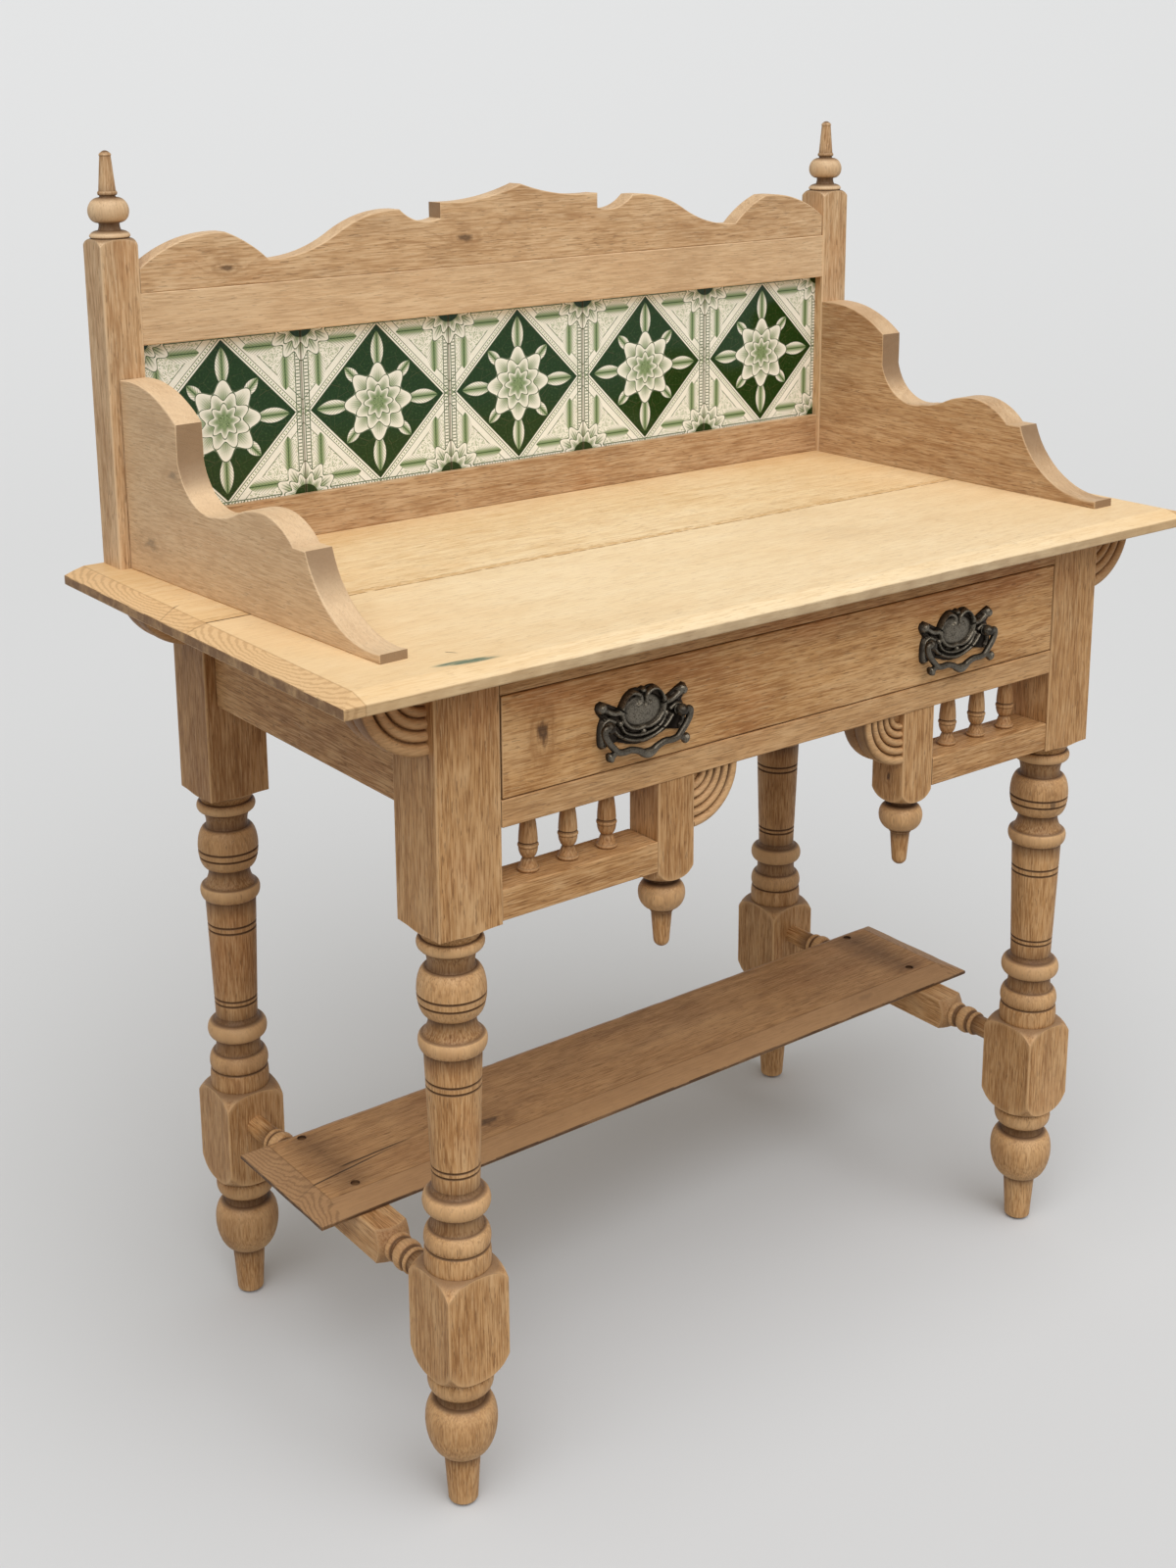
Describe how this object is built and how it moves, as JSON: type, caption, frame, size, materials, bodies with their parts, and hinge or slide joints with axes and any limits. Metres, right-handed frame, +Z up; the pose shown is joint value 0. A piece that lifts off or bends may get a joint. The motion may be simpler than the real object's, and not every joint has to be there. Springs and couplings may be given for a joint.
{
  "type": "washstand",
  "caption": "Pine washstand with a tiled upstand, shaped side galleries, a frieze drawer on drop handles, turned legs and a bevelled undershelf.",
  "frame": {"origin": "on the floor, under the centre of the top", "axes": "+X to the right along the front, +Y from the front to the tiled back, +Z up"},
  "size_m": [0.893, 0.444, 1.0365],
  "materials": {
    "pine_top": "waxed, pale straw",
    "pine_upstand": "waxed, honey tan",
    "pine_frame": "waxed, mid brown",
    "pine_drawer": "waxed, red brown",
    "pine_shelf": "worn, grey brown",
    "pine_inside": "bare",
    "tile_glaze": "gloss glaze, white and green",
    "dark_brass": "oxidised, dark",
    "steel": "dull"
  },
  "bodies": {
    "stand": {"back_rail": "pine_frame", "backboard": "pine_inside", "cresting": "pine_upstand", "drawer_kicker_left": "pine_inside", "drawer_kicker_right": "pine_inside", "drawer_rail": "pine_frame", "drawer_runner_left": "pine_inside", "drawer_runner_right": "pine_inside", "drawer_stops": "pine_inside", "fan_bracket_front_left": "pine_frame", "fan_bracket_front_right": "pine_frame", "fan_bracket_pendant_left": "pine_frame", "fan_bracket_pendant_right": "pine_frame", "fan_bracket_rear_left": "pine_frame", "fan_bracket_rear_right": "pine_frame", "front_top_rail": "pine_frame", "gallery_rail_left": "pine_frame", "gallery_rail_right": "pine_frame", "glue_blocks": "pine_inside", "leg_front_left": "pine_frame", "leg_front_right": "pine_frame", "leg_rear_left": "pine_frame", "leg_rear_right": "pine_frame", "pendant_left": "pine_frame", "pendant_right": "pine_frame", "post_left": "pine_upstand", "post_right": "pine_upstand", "shelf": "pine_shelf", "shelf_screws": "steel", "side_gallery_left": "pine_upstand", "side_gallery_right": "pine_upstand", "side_rail_left": "pine_frame", "side_rail_right": "pine_frame", "spindles_left": "pine_frame", "spindles_right": "pine_frame", "stretcher_left": "pine_frame", "stretcher_right": "pine_frame", "tile_1": "tile_glaze", "tile_2": "tile_glaze", "tile_3": "tile_glaze", "tile_4": "tile_glaze", "tile_5": "tile_glaze", "top_board_front": "pine_top", "top_board_rear": "pine_top", "upstand_bottom_rail": "pine_upstand", "upstand_top_rail": "pine_upstand"},
    "drawer": {"drawer_back": "pine_inside", "drawer_bottom": "pine_inside", "drawer_front": "pine_drawer", "drawer_side_left": "pine_inside", "drawer_side_right": "pine_inside", "handle_nuts": "steel", "handle_plate_left": "dark_brass", "handle_plate_right": "dark_brass", "handle_studs_left": "dark_brass", "handle_studs_right": "dark_brass"},
    "bail_left": {"handle_bail_left": "dark_brass"},
    "bail_right": {"handle_bail_right": "dark_brass"}
  },
  "joints": [
    {"name": "drawer_slide", "type": "slide", "parent": "stand", "child": "drawer", "axis": [0, -1, 0], "range_m": [0, 0.28]},
    {"name": "bail_left_swing", "type": "hinge", "parent": "drawer", "child": "bail_left", "pos_m": [-0.171, -0.198, 0.624], "axis": [-1, 0, 0], "range_deg": [0, 95]},
    {"name": "bail_right_swing", "type": "hinge", "parent": "drawer", "child": "bail_right", "pos_m": [0.171, -0.198, 0.624], "axis": [-1, 0, 0], "range_deg": [0, 95]}
  ]
}
